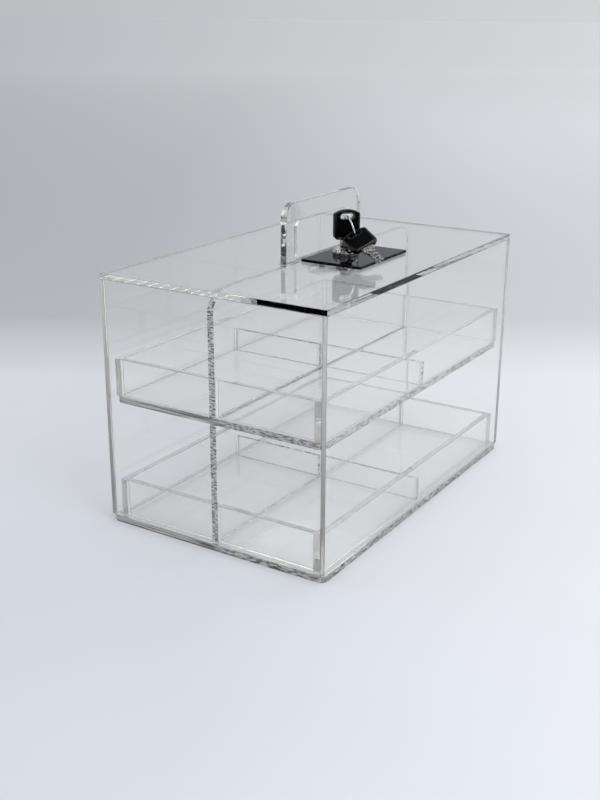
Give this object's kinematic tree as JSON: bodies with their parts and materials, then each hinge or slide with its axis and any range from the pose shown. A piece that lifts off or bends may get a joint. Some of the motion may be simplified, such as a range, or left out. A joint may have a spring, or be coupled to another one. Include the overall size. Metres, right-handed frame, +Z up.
{
  "type": "poker chip case",
  "caption": "Clear tiered poker chip case: lift-off cover locked by a top cam lock with keys, partitioned trays inside, and a carrying handle through the cover.",
  "frame": {"origin": "centre of the base plate's underside", "axes": "+Z up, -Y towards the front end, +X to the right seen from the front"},
  "size_m": [0.184, 0.29, 0.231],
  "materials": {
    "clear_sheet": "clear, polished faces and saw-cut edges",
    "black_sheet": "gloss black sheet",
    "chrome": "bright plated",
    "chrome_plug": "bright plated, worn",
    "zinc_steel": "zinc plated",
    "brass": "stamped",
    "key_metal": "nickel plated",
    "key_plastic": "satin moulded",
    "ring_wire": "nickel plated wire"
  },
  "bodies": {
    "rack": {"base_plate": "clear_sheet", "spine_plate": "clear_sheet", "upper_shelf": "clear_sheet", "lower_left_wall": "clear_sheet", "lower_left_divider": "clear_sheet", "lower_front_left_wall": "clear_sheet", "lower_back_left_wall": "clear_sheet", "lower_right_wall": "clear_sheet", "lower_right_divider": "clear_sheet", "lower_front_right_wall": "clear_sheet", "lower_back_right_wall": "clear_sheet", "upper_left_wall": "clear_sheet", "upper_left_divider": "clear_sheet", "upper_front_left_wall": "clear_sheet", "upper_back_left_wall": "clear_sheet", "upper_right_wall": "clear_sheet", "upper_right_divider": "clear_sheet", "upper_front_right_wall": "clear_sheet", "upper_back_right_wall": "clear_sheet"},
    "cover": {"cover_top": "clear_sheet", "cover_front": "clear_sheet", "cover_back": "clear_sheet", "cover_left": "clear_sheet", "cover_right": "clear_sheet", "lock_plate": "black_sheet", "lock_body": "chrome", "lock_washer": "zinc_steel", "lock_nut": "zinc_steel"},
    "lock_plug": {"lock_plug": "chrome_plug", "lock_wafers": "brass", "lock_cam": "zinc_steel", "cam_screw": "zinc_steel"},
    "key_1": {"key_1_blade": "key_metal", "key_1_head": "key_plastic"},
    "key_ring": {"key_ring": "ring_wire"},
    "key_2": {"key_2_blade": "key_metal", "key_2_head": "key_plastic"}
  },
  "joints": [
    {"name": "cover_lift", "type": "slide", "parent": "rack", "child": "cover", "axis": [0, 0, 1], "range_m": [0, 0.23]},
    {"name": "lock_turn", "type": "hinge", "parent": "cover", "child": "lock_plug", "pos_m": [0.0245, -0.006, 0.19], "axis": [0, 0, 1], "range_deg": [-48, 42]},
    {"name": "key_withdraw", "type": "slide", "parent": "lock_plug", "child": "key_1", "axis": [0, 0, 1], "range_m": [0, 0.022]},
    {"name": "ring_swing", "type": "hinge", "parent": "key_1", "child": "key_ring", "pos_m": [0.0245, -0.006, 0.2183], "axis": [0.7431, -0.6691, 0], "range_deg": [0, 25]},
    {"name": "spare_key_swing", "type": "hinge", "parent": "key_ring", "child": "key_2", "pos_m": [0.03396, -0.00914, 0.20481], "axis": [-0.1287, 0.465, -0.8759], "range_deg": [-20, 3]}
  ]
}
